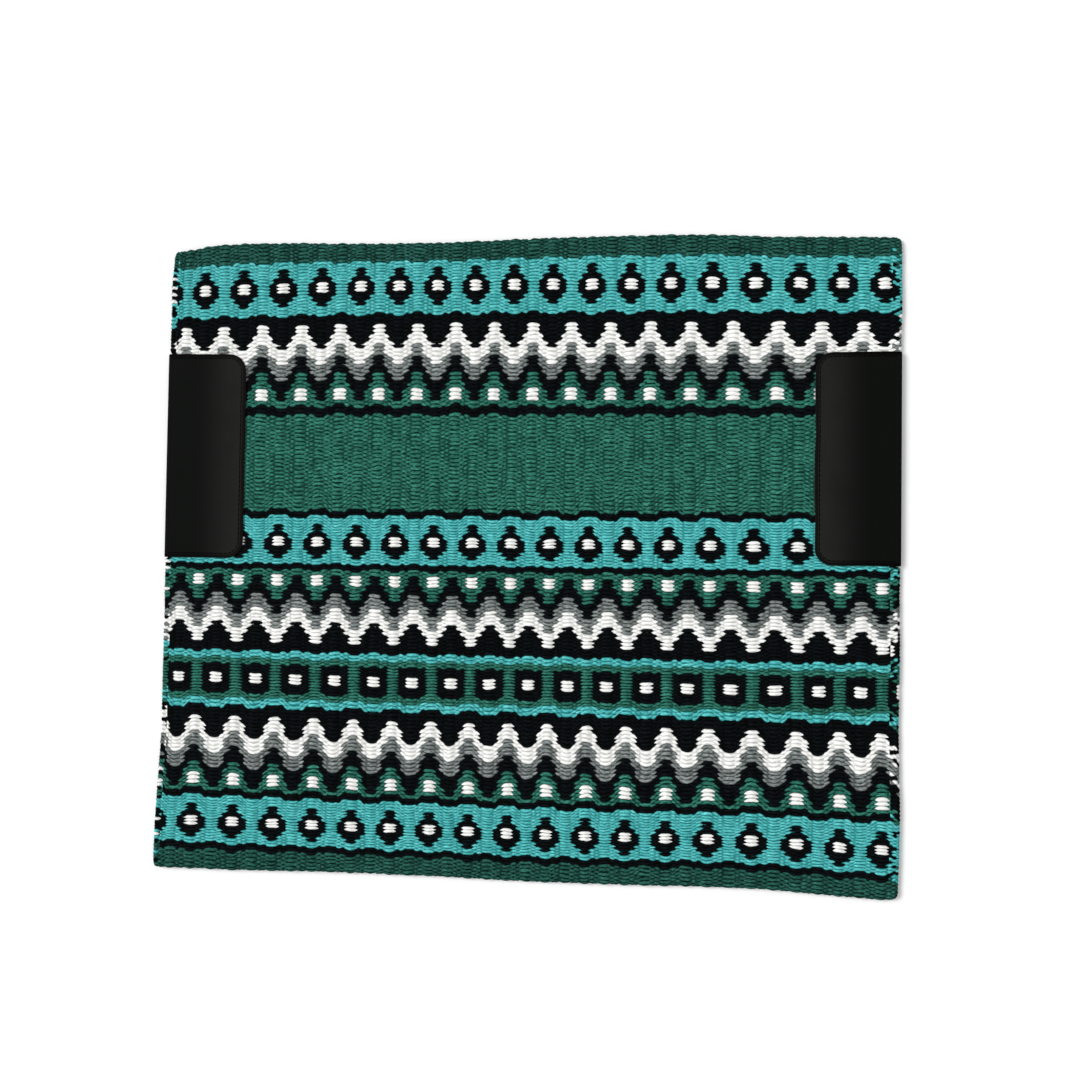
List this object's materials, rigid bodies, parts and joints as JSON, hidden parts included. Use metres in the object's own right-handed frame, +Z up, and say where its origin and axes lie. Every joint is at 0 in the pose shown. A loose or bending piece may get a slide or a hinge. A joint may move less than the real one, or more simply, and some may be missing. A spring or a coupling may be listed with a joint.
{
  "type": "saddle pad",
  "caption": "Hand-woven wool saddle blanket with a banded diamond and zigzag pattern, black wear leathers sewn round both side edges, folding along its spine.",
  "frame": {"origin": "under the middle of the flat blanket, on the surface that it lies on", "axes": "+X to the horse's off (right) side, +Y along the spine to the withers, +Z up through the woven face"},
  "size_m": [1, 0.866, 0.0096],
  "materials": {
    "woven_wool": "matt weft-faced wool in green, turquoise, black, grey and off-white",
    "wear_leather": "smooth black leather with a soft sheen",
    "stitching_thread": "waxed black thread"
  },
  "bodies": {
    "near_side": {"near_woven_blanket": "woven_wool", "near_wear_leather": "wear_leather", "near_wear_leather_stitching": "stitching_thread"},
    "off_side": {"off_woven_blanket": "woven_wool", "off_wear_leather": "wear_leather", "off_wear_leather_stitching": "stitching_thread"}
  },
  "joints": [
    {"name": "spine_fold", "type": "hinge", "parent": "near_side", "child": "off_side", "pos_m": [0, 0, 0.0093], "axis": [0, -1, 0], "range_deg": [0, 175]}
  ]
}
